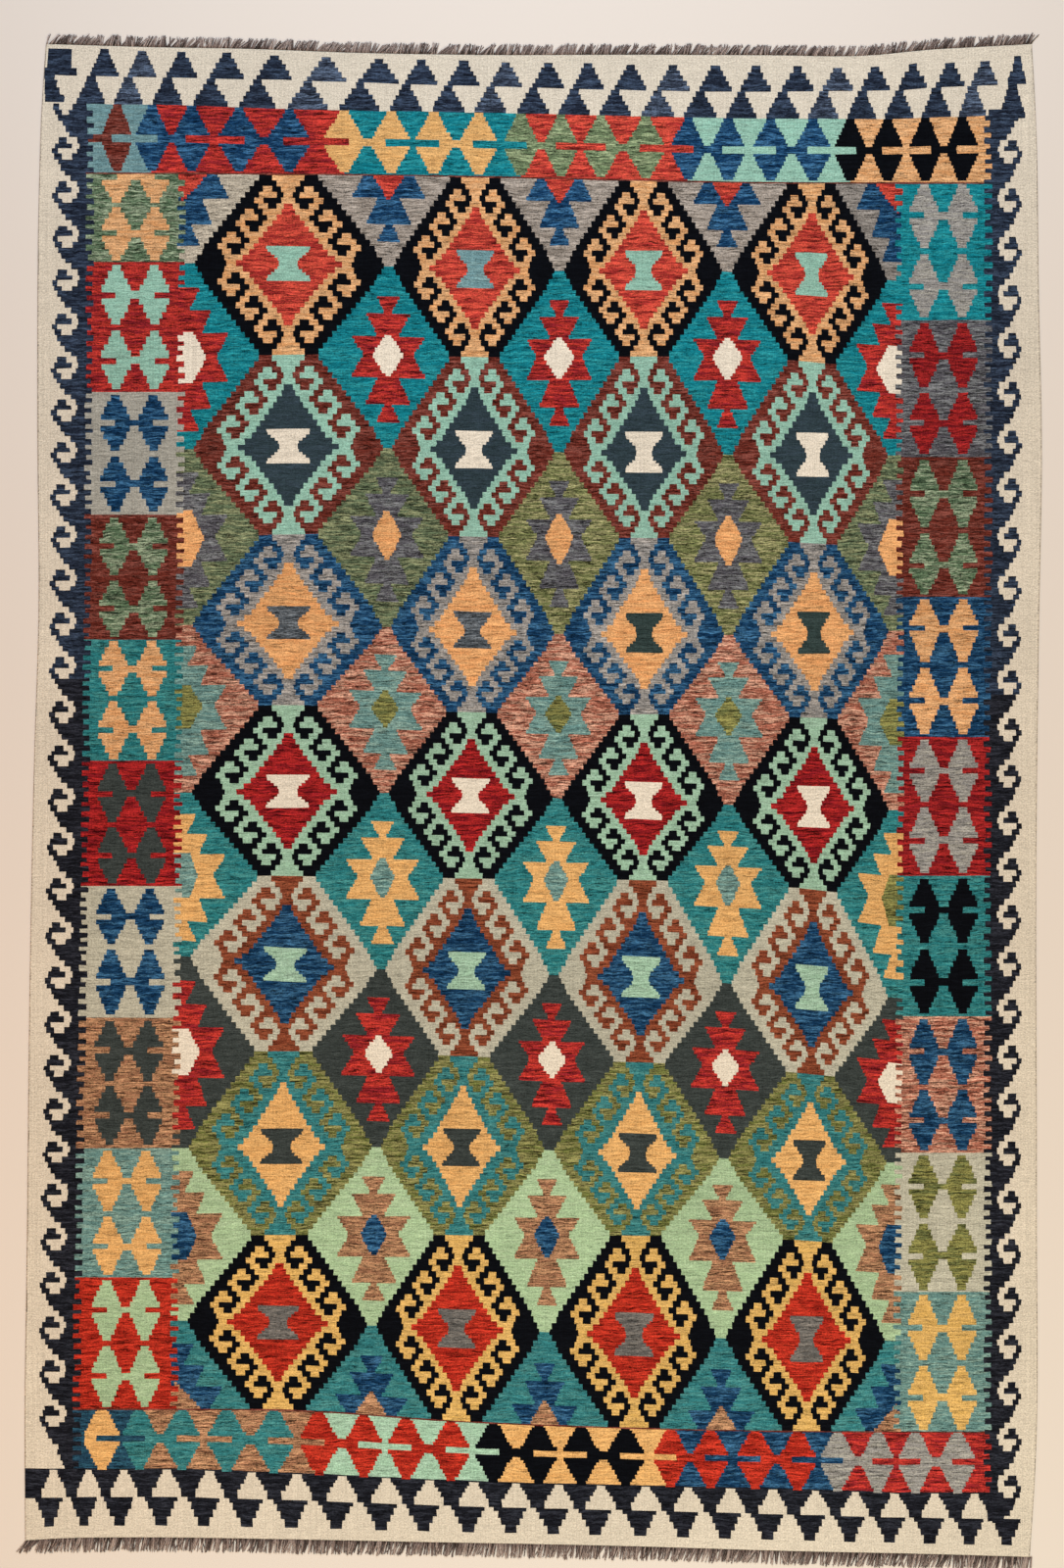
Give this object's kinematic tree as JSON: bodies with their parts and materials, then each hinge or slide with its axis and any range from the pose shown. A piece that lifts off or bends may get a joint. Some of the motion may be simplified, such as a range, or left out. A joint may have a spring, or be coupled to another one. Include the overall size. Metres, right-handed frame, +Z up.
{
  "type": "kilim rug",
  "caption": "Flat-woven wool rug with a hooked medallion field, block borders and a short cut fringe at both ends, lying flat.",
  "frame": {"origin": "on the floor under the middle of the rug's bounding box", "axes": "+X across the rug, from its left selvedge to its right one; +Y along it, from the near fringe to the far one; +Z up"},
  "size_m": [2.039, 3.0924, 0.0085],
  "materials": {
    "woven_wool": "matte flat-woven wool in many dyes, streaked along the weft",
    "warp_fringe": "matte grey-brown undyed wool warp ends"
  },
  "bodies": {
    "root": {"kilim": "woven_wool", "fringe_far": "warp_fringe", "fringe_near": "warp_fringe"}
  },
  "joints": []
}
